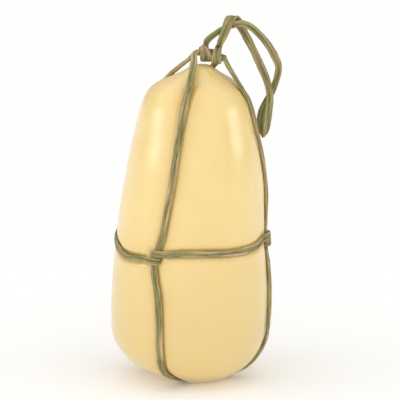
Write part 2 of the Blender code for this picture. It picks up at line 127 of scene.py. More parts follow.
def profile():
    """Radius and height at every step, from the middle of the base to the top of the neck."""
    side = smooth_route([(FLAT_RADIUS, 0), *(np.array(OUTLINE) * MM), (0, HEIGHT)], PROFILE_STEP, dims=2)
    line = np.concatenate([[(0, 0)], side])
    length = lengths_along(line)
    stations = np.arange(0, length[-1], PROFILE_STEP)
    return np.stack([np.interp(stations, length, column) for column in line.T], axis=1)


PROFILE = profile()
PROFILE_NORMAL = np.stack([np.gradient(PROFILE[:, 1]), -np.gradient(PROFILE[:, 0])], axis=1)
PROFILE_NORMAL /= np.linalg.norm(PROFILE_NORMAL, axis=1)[:, None]
SIDE_STARTS = int(FLAT_RADIUS / PROFILE_STEP) + 1


def station_of(height):
    """The profile's length up to a height above the base."""
    steps = np.arange(SIDE_STARTS, len(PROFILE))
    return PROFILE_STEP * np.interp(height, PROFILE[SIDE_STARTS:, 1], steps)


def height_of(station):
    """The height of the profile at a length along it."""
    return np.interp(station / PROFILE_STEP, np.arange(len(PROFILE)), PROFILE[:, 1])


def place(azimuth, station):
    """The place, outward normal, sideways and upward directions of the plain surface."""
    index = np.asarray(station) / PROFILE_STEP
    steps = np.arange(len(PROFILE))
    r, z = (np.interp(index, steps, column) for column in PROFILE.T)
    nr, nz = (np.interp(index, steps, column) for column in PROFILE_NORMAL.T)
    s, c = np.sin(np.radians(azimuth)), np.cos(np.radians(azimuth))
    point = np.stack([smooth_values(z, LEAN, MM) + r * s, -r * c, z], axis=-1)
    out = np.stack([nr * s, -nr * c, nz], axis=-1)
    sideways = np.stack([c, s, 0 * s], axis=-1) * np.ones_like(point)
    return point, out, sideways, np.cross(out, sideways)


# Rush cord. Green rush stems are split, rolled flat while damp and left to dry: a strip
# about 5 mm wide and half as thick, with a fold along its middle, long fibres and a
# dull olive face that dries to tan in patches; its folds and creases get painted shade.
CORD_WIDTH = 5.4 * MM
CORD_THICK = 3.0 * MM
SECTION_POINTS = 32
SECTION_STEP = 0.8 * MM
SIDE_SHAPE, FACE_SHAPE = 0.9, 0.75  # powers below 1 square the oval section a little
FIBRE_HEIGHT = 0.055 * MM
CUT_SIZE, CUT_REACH = 0.55, 1.2 * MM  # a cut end's share of the full size, and how soon it is full
# The fold along the strip and the smaller crease beside it, as shares of its width and thickness
FOLD_WIDTH, FOLD_DEPTH = 0.13, 0.24
CREASE_WIDTH, CREASE_DEPTH, CREASE_BESIDE = 0.05, 0.22, 0.24
# How much a strip strays from that form, as a share, and over what length in metres
WIDTH_STRAY, FINE_WIDTH_STRAY = (0.07, 0.041), (0.025, 0.013)
THICK_STRAY = (0.09, 0.029)
FOLD_STRAY, FOLD_DEPTH_STRAY = (0.10, 0.085), (0.25, 0.05)
CREASE_STRAY = (0.2, 0.03)
ROLL_LENGTH, CREASE_SIDE_LENGTH, RIB_LENGTH = 0.062, 0.11, 0.055
# How much painted shade the middle of each cut end gets, as a share
END_SHADE = 0.6


def linear(code):
    """A colour's linear values from its sRGB hex code."""
    values = [int(code[i : i + 2], 16) / 255 for i in (1, 3, 5)]
    return tuple(v / 12.92 if v <= 0.04045 else ((v + 0.055) / 1.055) ** 2.4 for v in values) + (1.0,)


def add_node(tree, kind, settings=None, links=None):
    """A node with its settings and input values or links, by name or number."""
    node = tree.nodes.new(kind)
    for key, value in (settings or {}).items():
        setattr(node, key, value)
    for key, value in (links or {}).items():
        if isinstance(value, bpy.types.NodeSocket):
            tree.links.new(value, node.inputs[key])
        else:
            node.inputs[key].default_value = value
    return node


def wander(s, wavelength, seed):
    """A smooth, irregular value between about -1 and 1 along a length, the same on each run."""
    t = 2 * math.pi * np.asarray(s) / wavelength
    value = 0.5 * np.sin(t + seed) + 0.3 * np.sin(1.71 * t + 2.3 * seed)
    return value + 0.2 * np.sin(2.93 * t + 4.1 * seed)


def stray(s, amount_and_length, seed):
    """An irregular value along a length, between about plus and minus an amount."""
    amount, wavelength = amount_and_length
    return amount * wander(s, wavelength, seed)


def add_attribute(mesh, name, values):
    """A value or a vector for each point of a mesh, which its material can read."""
    kind, field = ("FLOAT_VECTOR", "vector") if values.ndim == 2 else ("FLOAT", "value")
    attribute = mesh.attributes.new(name, kind, "POINT")
    attribute.data.foreach_set(field, values.astype(np.float32).ravel())


def strip_surface(rows, seed, roll):
    """A strip's points, their places as if it lay straight, how deep in a fold each is, and the length so far.
    """
    middle, wide = rows[:, :3], rows[:, 3:6]
    along = np.gradient(middle, axis=0)
    wide = wide / np.linalg.norm(wide, axis=1)[:, None]
    deep = np.cross(along, wide)
    deep /= np.linalg.norm(deep, axis=1)[:, None]
    s = lengths_along(middle)
    width = rows[:, 6] * (1 + stray(s, WIDTH_STRAY, seed) + stray(s, FINE_WIDTH_STRAY, seed + 2))
    thick = rows[:, 7] * (1 + stray(s, THICK_STRAY, seed + 1))
    taper = np.clip(CUT_SIZE + (1 - CUT_SIZE) * np.minimum(s, s[-1] - s) / CUT_REACH, 0, 1)
    turned = np.radians(roll) * wander(s, ROLL_LENGTH, seed + 3)

    angles = np.arange(SECTION_POINTS) * 2 * math.pi / SECTION_POINTS - math.pi / 2
    ca, sa = np.cos(angles), np.sin(angles)
    x = np.sign(ca) * abs(ca) ** SIDE_SHAPE / 2
    y = np.sign(sa) * abs(sa) ** FACE_SHAPE / 2
    fold_at = stray(s, FOLD_STRAY, seed + 4)
    crease_at = np.sign(wander(s, CREASE_SIDE_LENGTH, seed + 8)) * CREASE_BESIDE
    crease_at = crease_at * (1 - CREASE_STRAY[0] + stray(s, CREASE_STRAY, seed))
    on_face = abs(sa)[None] ** 2
    fold = np.exp(-(((x[None] - fold_at[:, None]) / FOLD_WIDTH) ** 2)) * on_face
    crease = np.exp(-(((x[None] - crease_at[:, None]) / CREASE_WIDTH) ** 2)) * on_face
    phase = 2.0 * wander(s, RIB_LENGTH, seed + 5)[:, None]
    ribs = np.sin(11 * angles[None] + phase) + 0.8 * np.sin(19 * angles[None] - 1.6 * phase + seed)
    sunk = 1 - FOLD_DEPTH_STRAY[0] + stray(s, FOLD_DEPTH_STRAY, seed + 6)
    sunk = (2 * FOLD_DEPTH * fold + CREASE_DEPTH * crease) * sunk[:, None]
    across = x[None] * (width * taper)[:, None] + FIBRE_HEIGHT * ribs * ca[None]
    depth = y[None] * (thick * taper)[:, None] * (1 - sunk) + FIBRE_HEIGHT * ribs * sa[None]

    co, si = np.cos(turned)[:, None], np.sin(turned)[:, None]
    u, v = across * co - depth * si, across * si + depth * co
    verts = middle[:, None] + u[..., None] * wide[:, None] + v[..., None] * deep[:, None]
    straight = np.stack([across, depth, np.broadcast_to(s[:, None], across.shape) + seed], axis=-1)
    return verts, straight, np.clip(fold + 0.7 * crease, 0, 1), s


def rush_strip(name, rows, seed, roll=6.0, green=()):
    """A flat, folded strip of rush along rows of place, width direction, width and thickness.

    The attribute strip holds each point's place as if the strip lay straight, crease says where it
    is folded, which the material darkens as painted shade, and green how much of the stem's colour is left.
    """
    verts, straight, crease_shade, s = strip_surface(smooth_route(rows, SECTION_STEP), seed, roll)
    rings, n = len(verts), SECTION_POINTS
    points = np.concatenate([verts.reshape(-1, 3), [verts[0].mean(axis=0), verts[-1].mean(axis=0)]])
    faces = [
        (i * n + j, i * n + (j + 1) % n, (i + 1) * n + (j + 1) % n, (i + 1) * n + j)
        for i in range(rings - 1)
        for j in range(n)
    ]
    faces += [(rings * n, (j + 1) % n, j) for j in range(n)]
    faces += [(rings * n + 1, (rings - 1) * n + j, (rings - 1) * n + (j + 1) % n) for j in range(n)]
    mesh = bpy.data.meshes.new(name)
    mesh.from_pydata([tuple(p) for p in points], [], faces)
    shaping = bmesh.new()
    shaping.from_mesh(mesh)
    bmesh.ops.recalc_face_normals(shaping, faces=shaping.faces)
    shaping.to_mesh(mesh)
    shaping.free()
    mesh.shade_smooth()
    straight = np.concatenate([straight.reshape(-1, 3), [(0, 0, seed), (0, 0, s[-1] + seed)]])
    crease_shade = np.concatenate([crease_shade.reshape(-1), [END_SHADE, END_SHADE]])
    left_green = np.interp(s / s[-1], *np.array(green).T) if len(green) else 0 * s
    greens = np.concatenate([np.repeat(left_green, n), left_green[[0, -1]]])
    add_attribute(mesh, "strip", straight)
    add_attribute(mesh, "crease", crease_shade)
    add_attribute(mesh, "green", greens)
    strip = bpy.data.objects.new(name, mesh)
    scene.collection.objects.link(strip)
    strip.data.materials.append(dried_rush)
    return strip


# Dried rush: matt, with the faint silky line that a rolled stem keeps along its fibres.
FIBRE_SPACING = 0.45 * MM  # drawn about twice as coarse as it is, so that it shows
FIBRE_STRETCH = 0.022  # how little the fibres change along the strip, against across it
PATCH_LENGTH = 26.0 * MM
PATCH_STRETCH = 5.0
CREASE_SHADE = 0.55
dried_rush = bpy.data.materials.new("dried_flat_rush")
dried_rush.use_nodes = True
tree = dried_rush.node_tree
rush_shader = tree.nodes["Principled BSDF"]
strip_place = add_node(tree, "ShaderNodeAttribute", {"attribute_name": "strip"})
crease_at = add_node(tree, "ShaderNodeAttribute", {"attribute_name": "crease"})
green_at = add_node(tree, "ShaderNodeAttribute", {"attribute_name": "green"})
fibre_place = add_node(
    tree, "ShaderNodeMapping", {},
    {"Vector": strip_place.outputs["Vector"], "Scale": (1.0, 1.0, FIBRE_STRETCH)},
)  # fmt: skip
fibres = add_node(
    tree, "ShaderNodeTexNoise", {},
    {"Vector": fibre_place.outputs[0], "Scale": 1 / FIBRE_SPACING, "Detail": 3.0, "Roughness": 0.6},
)  # fmt: skip
patch_place = add_node(
    tree, "ShaderNodeMapping", {},
    {"Vector": strip_place.outputs["Vector"], "Scale": (PATCH_STRETCH, PATCH_STRETCH, 1.0)},
)  # fmt: skip
patches = add_node(
    tree, "ShaderNodeTexNoise", {},
    {"Vector": patch_place.outputs[0], "Scale": 1 / PATCH_LENGTH, "Detail": 2.5, "Roughness": 0.55},
)  # fmt: skip
olive = add_node(tree, "ShaderNodeValToRGB", {}, {"Fac": fibres.outputs["Fac"]})
ramp = olive.color_ramp
ramp.elements[0].position, ramp.elements[0].color = 0.36, linear("#4a451d")
ramp.elements[1].position, ramp.elements[1].color = 0.66, linear("#c2b985")
ramp.elements.new(0.50).color = linear("#938a50")
tan = add_node(tree, "ShaderNodeValToRGB", {}, {"Fac": fibres.outputs["Fac"]})
ramp = tan.color_ramp
ramp.elements[0].position, ramp.elements[0].color = 0.34, linear("#7a6335")
ramp.elements[1].position, ramp.elements[1].color = 0.68, linear("#d8c598")
ramp.elements.new(0.50).color = linear("#b8a26c")
how_dry = add_node(tree, "ShaderNodeMapRange", {}, {"Value": patches.outputs["Fac"], 1: 0.46, 2: 0.60})
dried = add_node(
    tree, "ShaderNodeMix", {"data_type": "RGBA"},
    {0: how_dry.outputs[0], 6: olive.outputs[0], 7: tan.outputs[0]},
)  # fmt: skip
greened = add_node(
    tree, "ShaderNodeMix", {"data_type": "RGBA"},
    {0: green_at.outputs["Fac"], 6: dried.outputs[2], 7: linear("#6f8440")},
)  # fmt: skip
# Painted shade: the folds and creases are mixed towards a dark brown, where shade falls in them
how_crease_shaded = add_node(
    tree, "ShaderNodeMath", {"operation": "MULTIPLY"}, {0: crease_at.outputs["Fac"], 1: CREASE_SHADE}
)
crease_shaded_colour = add_node(
    tree, "ShaderNodeMix", {"data_type": "RGBA"},
    {0: how_crease_shaded.outputs[0], 6: greened.outputs[2], 7: linear("#3f3914")},
)  # fmt: skip
fibre_bump = add_node(
    tree, "ShaderNodeBump", {}, {"Strength": 0.55, "Distance": 0.12 * MM, "Height": fibres.outputs["Fac"]}
)
tree.links.new(crease_shaded_colour.outputs[2], rush_shader.inputs["Base Color"])
tree.links.new(fibre_bump.outputs[0], rush_shader.inputs["Normal"])
rush_shader.inputs["Roughness"].default_value = 0.55
rush_shader.inputs["IOR"].default_value = 1.45
rush_shader.inputs["Sheen Weight"].default_value = 0.15
rush_shader.inputs["Sheen Roughness"].default_value = 0.4

# The two slings. Each is one length of rush that comes down a side, runs under the base
# in its own channel and goes up the other side, drawn tight enough to sink into the curd.
# Their four strands meet above the neck, where the hanging loop's hitch grips them.
CORD_LIFT = 0.5 * MM
TAUT_BEND = 0.3
END_WIDTH = 4.2 * MM
END_THICK = 2.8 * MM
UNDER_THICK = 2.2 * MM
UNDER_LIFT = -1.75 * MM
CROSSING_HUMP = 2.8 * MM
CROSSING_REACH = 9.0 * MM
UNDER_STEPS = 8
BASE_EDGE = FLAT_RADIUS - 2 * MM
HEEL_HEIGHT = 14.0 * MM
# Azimuth in degrees from the front, anticlockwise seen from above, at heights in mm
STRANDS = {
    "front": [(0, -25), (12, -25), (34, -21.5), (73, -23.5), (101, -28), (110, -26),
              (122, -22.8), (157, -19.2), (193, -15.6), (226, -12), (242, -11)],
    "right": [(0, 82), (17, 82), (60, 81), (104, 84), (150, 86),
              (190, 84.5), (215, 79), (228, 76), (242, 75)],
    "back": [(0, 155), (60, 155), (110, 157), (150, 160), (228, 166), (242, 168)],
    "left": [(0, 246), (60, 242), (110, 240), (190, 238), (228, 236), (242, 240)],
}  # fmt: skip
# How far a strand's middle lies off the plain surface, in mm, at heights in mm
LIFTS = {
    "right": [(30, 1.2), (60, 1.5), (90, 1.2), (99, 0.5), (118, 0.5), (150, 1.4), (190, 1.2), (242, 1)],
    "other": [(0, 0.5), (185, 0.5), (206, -0.8), (226, -2.4), (242, -2.4)],
}
LEAVES_AT = {"front": 226 * MM, "right": 226 * MM, "back": 227 * MM, "left": 228 * MM}
PINCHED_WIDTH = 4.0 * MM
PINCHED_THICK = 2.3 * MM
PINCH_REACH = 7.0 * MM
HITCH_RISE = 5.7 * MM
# The height where the waist band meets a strand, and whether it leaves above or below
HITCHES = {"left": (106.2 * MM, 1), "front": (103.0 * MM, 1), "right": (112.0 * MM, -1)}
HITCH_STATIONS = np.array([-10, -6, -3, 0, 3, 6, 10]) * MM
HITCH_SPACE = 14 * MM
STRAND_STEP = 8 * MM
BEND_SHARES = (0.3, 0.6, 0.85)
# Where each strand turns into the hitch above the neck, and the places it passes inside it, in mm
STRAND_ENDS = {
    "front": [(2.9, -3.3, 251.2), (5.2, -2.2, 252.2), (8.4, -1.4, 250.9), (13.6, -1.3, 249.6)],
    "left": [(3.4, 1.6, 249.2), (6.4, 1.2, 249.4), (10.0, 1.2, 248.6), (14.0, 1.2, 248.2)],
    "right": [(24.0, -1.9, 246.7), (21.4, -1.6, 247.7), (18.0, -1.4, 248.0), (14.2, -1.6, 248.0)],
    "back": [(24.0, 3.2, 247.4), (21.2, 2.0, 248.0), (18.0, 1.4, 248.9), (14.2, 1.4, 249.9)],
}
GRIPPED_WIDTH = 3.6 * MM
GRIPPED_THICK = 2.3 * MM


def strand_azimuth(name, station):
    """The azimuth of a strand's middle at a length along the profile."""
    return smooth_values(height_of(station), STRANDS[name])


def strand(name):
    """Rows of place, width direction, width and thickness, from the base's edge up into the hitch."""
    stations = np.arange(BASE_EDGE, station_of(LEAVES_AT[name]), STRAND_STEP)
    pinched = 0 * stations
    if name in HITCHES:
        meets_at, way = HITCHES[name]
        hitch_height = meets_at + way * HITCH_RISE / 2
        middle = station_of(hitch_height)
        away = stations[abs(stations - middle) > HITCH_SPACE]
        stations = np.sort(np.concatenate([away, middle + HITCH_STATIONS]))
        pinched = np.exp(-(((height_of(stations) - hitch_height) / PINCH_REACH) ** 4))
    height = height_of(stations)
    point, out, sideways, _ = place(strand_azimuth(name, stations), stations)
    sunk = np.clip(1 - height / HEEL_HEIGHT, 0, 1) ** 2
    lift = smooth_values(height, LIFTS.get(name, LIFTS["other"]), MM)
    lift = lift + (UNDER_LIFT - lift) * sunk
    width = CORD_WIDTH + (PINCHED_WIDTH - CORD_WIDTH) * pinched
    thick = CORD_THICK + (UNDER_THICK - CORD_THICK) * sunk + (PINCHED_THICK - CORD_THICK) * pinched
    rows = np.column_stack([point + lift[:, None] * out, sideways, width, thick])
    last, ends = rows[-1], np.array(STRAND_ENDS[name]) * MM
    onward = last[:3] - rows[-2, :3]
    bend = last[:3] + onward / np.linalg.norm(onward) * np.linalg.norm(ends[0] - last[:3]) * TAUT_BEND
    for t in BEND_SHARES:
        point = (1 - t) ** 2 * last[:3] + 2 * t * (1 - t) * bend + t**2 * ends[0]
        rows = np.concatenate([rows, [[*point, *last[3:6], CORD_WIDTH, CORD_THICK]]])
    wide = rows[-1, 3:6]
    inside = [rows[-1, :3], *ends]
    for k in range(1, len(inside)):
        ahead = inside[min(k + 1, len(inside) - 1)] - inside[k - 1]
        ahead /= np.linalg.norm(ahead)
        wide = wide - wide.dot(ahead) * ahead
        wide /= np.linalg.norm(wide)
        size = (END_WIDTH, END_THICK) if k == 1 else (GRIPPED_WIDTH, GRIPPED_THICK)
        rows = np.concatenate([rows, [[*inside[k], *wide, *size]]])
    return rows


def base_end(name):
    """Where a strand's straight run across the base starts."""
    return Vector(place(strand_azimuth(name, BASE_EDGE), BASE_EDGE)[0][:2])


def under_base(start, end, hump):
    """Rows straight across the flat, between the two strands of a sling."""
    share = np.linspace(0, 1, UNDER_STEPS + 1)[1:-1, None]
    rows = start * (1 - share) + end * share
    crossing = intersect_line_line_2d(*(base_end(name) for name in ("front", "back", "right", "left")))
    near = np.exp(-((np.linalg.norm(rows[:, :2] - np.array(crossing), axis=1) / CROSSING_REACH) ** 2))
    rows[:, 2] = -UNDER_LIFT + hump * near
    rows[:, 6:] = CORD_WIDTH, UNDER_THICK
    return rows


def sling(first, second, hump):
    """A whole sling: down one strand, under the base and up the other."""
    down, up = strand(first), strand(second)
    up[:, 3:6] *= -1
    return np.concatenate([down[::-1], under_base(down[0], up[0], hump), up])


front_sling_rows = sling("front", "back", 0.0)
side_sling_rows = sling("right", "left", CROSSING_HUMP)
front_strands = rush_strip("front_strands", front_sling_rows, seed=1.3)
side_strands = rush_strip("side_strands", side_sling_rows, seed=4.7)
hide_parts("front_sling")
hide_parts("side_sling")

# The waist band. One length of the same rush goes round the middle and takes a full turn
# round each strand that it crosses, which stops the strands from sliding apart.
BAND_THICK = 2.6 * MM
TURN_BAND_THICK = 2.3 * MM
BAND_LIFT = 0.3 * MM
BAND_STEP = 7  # degrees
UP_WEIGHT = 0.02  # of the plain band's width direction, where it blends into a turn's
HITCH_GAP = 0.65 * MM
HITCH_CLEAR = 9.5  # degrees
TURN_STEP = 30  # degrees
# Sideways from the strand, and the share of a turn's full lift there
BESIDE_TURN = [(7.2 * MM, 0.34), (4.2 * MM, 0.84)]
# Height in mm at an azimuth in degrees, from the knot at the back and round to it again
BAND_HEIGHTS = [
    (157, 108.0), (190, 107.0), (229, 106.2), (250, 111.9), (269, 109.8), (280, 106.8), (290, 103.9),
    (298, 101.9), (306, 101.9), (316, 102.4), (325, 103.0), (343, 108.8), (360, 109.9), (378, 109.2),
    (388, 108.3), (408, 108.0), (418, 108.6), (436, 112.0), (453, 106.3), (475, 106.5), (517, 108.0),
]  # fmt: skip
KNOT_HALF_ANGLE, KNOT_RISE_ANGLE = 5.2, 6.0  # degrees
KNOT_RISE = 4.2 * MM


def beside_strand(name, shift, height):
    """A place on the surface's tangent plane at a strand, moved sideways by shift."""
    point, _, side, _ = place(smooth_values(height, STRANDS[name]), station_of(height))
    return point + shift * side


def turn(name, start, way):
    """A full turn round a strand: over it, behind it and over it again, one band's width further on."""
    half_wide = PINCHED_WIDTH / 2 + TURN_BAND_THICK / 2 + HITCH_GAP
    half_deep = PINCHED_THICK / 2 + TURN_BAND_THICK / 2 + HITCH_GAP
    end = start + way * HITCH_RISE
    middle = (start + end) / 2
    _, out, _, _ = place(smooth_values(middle, STRANDS[name]), station_of(middle))
    below, above = (beside_strand(name, 0.0, middle + shift * PINCHED_WIDTH) for shift in (-1, 1))

    def row(shift, height, share):
        point = beside_strand(name, shift, height) + (CORD_LIFT + half_deep * share) * out
        return [*point, *(above - below), CORD_WIDTH, TURN_BAND_THICK]

    rows = [row(-shift, start, share) for shift, share in BESIDE_TURN]
    for psi in np.radians(np.arange(90, -271, -TURN_STEP)):
        turned = min(max(-psi / math.pi, 0), 1)
        height = start + (end - start) * turned**2 * (3 - 2 * turned)
        rows.append(row(half_wide * math.cos(psi), height, math.sin(psi)))
    rows += [row(shift, end, share) for shift, share in BESIDE_TURN[::-1]]
    return rows


def band():
    """The band's rows, once round the waist with a full turn round three of the strands."""
    azimuths, heights = np.array(BAND_HEIGHTS).T
    start, end = azimuths[0] + KNOT_HALF_ANGLE, azimuths[-1] - KNOT_HALF_ANGLE
    hitch_azimuth = {}
    for name, (meets_at, way) in HITCHES.items():
        at = smooth_values(meets_at + way * HITCH_RISE / 2, STRANDS[name])
        hitch_azimuth[name] = float(at) % 360 + (360 if name == "right" else 0)
    rows = []
    order = sorted(HITCHES, key=hitch_azimuth.get)
    edges = [start, *(hitch_azimuth[name] for name in order), end]
    for number, (a, b) in enumerate(zip(edges, edges[1:])):
        a += HITCH_CLEAR if number else 0
        b -= HITCH_CLEAR if number < len(order) else 0
        for azimuth in np.linspace(a, b, max(3, round((b - a) / BAND_STEP))):
            height = np.interp(azimuth, azimuths, heights) * MM
            point, out, _, up = place(azimuth, station_of(height))
            to_knot = min(azimuth - start, end - azimuth)
            lift = BAND_LIFT + KNOT_RISE * np.clip(1 - to_knot / KNOT_RISE_ANGLE, 0, 1) ** 1.5
            rows.append([*(point + lift * out), *(up * UP_WEIGHT), CORD_WIDTH, BAND_THICK])
        if number < len(order):
            meets_at, way = HITCHES[order[number]]
            rows += turn(order[number], meets_at, way)
    return np.array(rows)


band_rows = band()
waist_cord = rush_strip("waist_cord", band_rows, seed=8.1, roll=4.0)
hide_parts("waist_band")

# The waist knot. The band's two ends are tied over the back strand in a small flat knot
# and cut off short, so two stubs lie against the cheese beside it.
KNOT_WIDTH, KNOT_THICK = 4.2 * MM, 1.9 * MM
# Each end's places, sideways, up and out from the back strand, in mm
KNOT_TIES = [
    [(-5.2, 0.0, 4.6), (-2.6, 0.6, 5.6), (0.6, 1.9, 7.0), (3.0, 1.6, 6.0), (3.6, -0.8, 4.8),
     (1.2, -2.2, 4.6), (-1.8, -1.8, 5.8), (-3.6, -3.2, 5.8), (-4.9, -6.4, 4.4),
     (-5.6, -10.6, 2.8), (-5.9, -14.6, 2.2)],
    [(5.2, 0.0, 4.6), (2.8, -0.7, 5.9), (0.0, -1.6, 7.2), (-2.8, -1.4, 6.4), (-3.8, 0.9, 4.9),
     (-1.0, 2.4, 4.7), (2.0, 2.0, 6.0), (4.0, 3.4, 5.6), (5.4, 6.0, 4.0),
     (6.8, 9.4, 2.8), (8.4, 12.6, 2.3)],
]  # fmt: skip


def rows_on_cheese(route, azimuth, height, width, thick):
    """Rows for a strip whose route is given sideways, up and out from a place on the plain surface."""
    rows = []
    middle_station = station_of(height)
    radius = np.interp(middle_station / PROFILE_STEP, np.arange(len(PROFILE)), PROFILE[:, 0])
    for k, (side_mm, up_mm, out_mm) in enumerate(route):
        turned = np.degrees(side_mm * MM / radius)
        point, out, side, up = place(azimuth + turned, middle_station + up_mm * MM)
        before, after = route[max(k - 1, 0)], route[min(k + 1, len(route) - 1)]
        sideways, upward, outward = np.subtract(after, before)
        ahead = sideways * side + upward * up + outward * out
        wide = np.cross(out, ahead)
        rows.append([*(point + out_mm * MM * out), *(wide / np.linalg.norm(wide)), width, thick])
    return np.array(rows)


knot_azimuth, knot_height = BAND_HEIGHTS[0]
knot_ends = [
    rush_strip(
        f"waist_knot_end_{number}",
        rows_on_cheese(route, knot_azimuth, knot_height * MM, KNOT_WIDTH, KNOT_THICK),
        seed=2.2 + number,
        roll=10.0,
    )
    for number, route in enumerate(KNOT_TIES)
]
bpy.ops.object.select_all(action="DESELECT")
for knot_end in knot_ends:
    knot_end.select_set(True)
bpy.context.view_layer.objects.active = knot_ends[0]
bpy.ops.object.join()
waist_tie = knot_ends[0]
waist_tie.name = "waist_tie"
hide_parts("waist_knot")

# The hitch above the neck. The hanging loop's two legs go down behind the four gathered
# strands, under them, up the front and over the top, and meet in a bar that lies behind
# the legs, which the cheese's own weight draws tight.
HITCH_THICK = 2.2 * MM
HITCH_ROUTE = [
    (11.6, 2.7, 258.8), (10.4, 4.1, 254.8), (10.9, 4.7, 250.8), (11.0, 4.0, 247.2),
    (11.0, 0.6, 244.9), (10.9, -3.4, 245.4), (10.7, -5.2, 249.0), (10.2, -3.9, 252.9),
    (9.2, -0.6, 254.6), (7.6, 3.0, 254.2), (7.2, 6.2, 252.0), (9.6, 7.8, 250.4),
    (14.5, 8.4, 249.6), (18.6, 7.8, 249.8), (20.8, 5.8, 251.2), (20.8, 2.4, 253.0),
    (20.0, -0.8, 253.6), (19.2, -3.9, 251.8), (18.9, -5.2, 247.9), (18.6, -3.6, 243.9),
    (18.6, 0.6, 243.2), (18.8, 4.0, 246.0), (19.4, 4.7, 250.4), (20.4, 3.9, 254.2),
    (21.9, -0.4, 258.9),
]  # fmt: skip
# Width direction and width in mm at some of those places
HITCH_FLAT = {
    0: (0.85, 0.15, -0.5, 3.8), 1: (1, 0, -0.1, 4.6), 3: (1, 0, 0, 5.6), 5: (1, 0, 0.1, 8.3),
    6: (1, 0, 0, 8.6), 7: (1, 0, -0.1, 7.6), 8: (1, 0.1, 0, 5.4), 9: (0.8, 0.2, 0.5, 4.4),
    10: (0.4, 0.1, 0.9, 4.0), 12: (0, 0, 1, 4.4), 14: (0.4, -0.1, 0.9, 4.0),
    15: (0.8, -0.2, 0.5, 4.2), 16: (1, 0, 0, 5.2), 17: (1, 0, -0.2, 6.8), 18: (1, 0, -0.2, 7.6),
    19: (1, 0, -0.1, 7.6), 21: (1, 0, 0, 5.6), 23: (1, 0, 0, 5.0), 24: (1, 0.1, -0.1, 4.2),
}  # fmt: skip


def rows_with_flats(route, flats, thick):
    """Rows for a strip along a route in mm, with its width direction and width given at some places."""
    at = sorted(flats)
    columns = np.array([flats[k] for k in at], float).T
    flat = np.stack([np.interp(np.arange(len(route)), at, column) for column in columns], axis=1)
    flat[:, :3] /= np.linalg.norm(flat[:, :3], axis=1)[:, None]
    thicks = np.full(len(route), thick)
    return np.column_stack([np.array(route) * MM, flat[:, :3], flat[:, 3] * MM, thicks])


hitch_rows = rows_with_flats(HITCH_ROUTE, HITCH_FLAT, HITCH_THICK)
hitch_turns = rush_strip("hitch_turns", hitch_rows, seed=5.9, roll=5.0)
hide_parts("top_hitch")

# The hanging loop. A doubled length of rush, stiff enough to keep the bends that it dried
# in: it rises from the hitch, folds over at the top and falls beside the shoulder.
LOOP_THICK = 2.7 * MM
LOOP_ROUTE = [
    (10.2, 2.8, 257.2), (13.2, 2.6, 260.7), (17.6, 3.0, 264.2), (24.4, 2.6, 268.6),
    (31.0, 0.0, 271.4), (37.1, -2.8, 273.2), (43.2, -2.5, 271.2), (49.6, -1.0, 265.6),
    (56.6, 0.5, 257.2), (62.0, 2.0, 247.8), (65.2, 3.0, 239.0), (64.1, 3.6, 231.4),
    (60.6, 3.9, 221.0), (56.2, 3.9, 212.2), (52.8, 3.9, 204.6), (51.8, 4.3, 197.8),
    (52.6, 4.2, 191.2), (54.7, 1.2, 187.4), (55.7, -1.7, 190.8), (56.6, -2.9, 197.5),
    (57.6, -3.2, 206.0), (58.7, -2.8, 217.0), (56.4, -2.2, 229.6), (52.0, -1.0, 240.0),
    (47.0, 0.4, 250.8), (41.8, 2.2, 260.8), (37.8, 3.4, 268.0), (33.6, 2.4, 274.8),
    (30.6, 0.0, 277.9), (28.0, -2.2, 274.4), (25.4, -3.4, 268.0), (23.0, -2.6, 261.8),
    (21.2, 1.0, 257.2),
]  # fmt: skip
LOOP_FLAT = {
    0: (0.85, 0.15, -0.5, 4.8), 1: (0.78, 0.1, -0.62, 4.8), 3: (0.5, 0.3, -0.8, 4.6),
    5: (0.1, 0.3, -0.95, 5.4), 7: (-0.55, 0.2, -0.8, 5.4), 9: (-0.9, 0.1, -0.4, 5.4),
    11: (-0.98, 0.1, 0.2, 5.0), 13: (-0.9, 0, 0.45, 5.4), 15: (-0.97, -0.2, 0, 5.8),
    17: (-0.75, -0.1, -0.65, 5.0), 19: (-0.97, -0.2, 0, 5.8), 21: (-1, 0, -0.05, 5.4),
    24: (-0.87, 0, -0.46, 5.6), 26: (-0.95, 0, -0.3, 6.6), 27: (-1, 0, -0.1, 8.4),
    28: (-1, 0, 0, 8.6), 29: (-1, 0, 0, 8.0), 30: (-0.95, 0, 0.3, 6.6),
    31: (-0.95, 0, 0.3, 5.8), 32: (-1, -0.1, 0.1, 5.2),
}  # fmt: skip
# How green the stem still is, at shares of the loop's length
LOOP_GREEN = [(0, 0.75), (0.035, 0.7), (0.08, 0.15), (0.5, 0.1), (1, 0.05)]
loop_rows = rows_with_flats(LOOP_ROUTE, LOOP_FLAT, LOOP_THICK)
loop_cord = rush_strip("loop_cord", loop_rows, seed=9.4, roll=9.0, green=LOOP_GREEN)
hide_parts("hanging_loop")

for rush_piece in (front_strands, side_strands, waist_cord, waist_tie, hitch_turns, loop_cord):
    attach(rush_piece, "root")

# The cheese. Curd stretched in hot water, moulded, brined and waxed: its outline is spun
# round the axis, leant as it cooled, and the tight cords press narrow channels into it,
# with the curd swollen a little on both sides and drawn in broadly under the shoulder.
RING_STEP = 1.2 * MM
SPIN_STEPS = 296
CHANNEL_WIDTH = 3.9 * MM
SWELL_REACH = 6.6 * MM
SWELL_WIDTH = 2.6 * MM
SWELL_SHARE = 0.22
FURROW_SHADE_WIDTH = 4.6 * MM
FURROW_WIDTH = 9.0 * MM
FURROW_SHADE_SHARE = 0.4
FURROW_SHARE = {"right": 0.15}
FURROW_TOP = 240 * MM
PLAIN_NECK = 234 * MM  # above it the furrows get no painted shade
# The broad furrow's depth under a strand, in mm, at heights in mm
FURROW = [
    (0, 0.0), (8, 0.2), (30, 0.4), (100, 0.7), (170, 1.0), (205, 1.9), (222, 3), (232, 2.6), (240, 0.5),
]  # fmt: skip
MERGE_DISTANCE = 0.02 * MM
POLE_RADIUS = 0.05 * MM

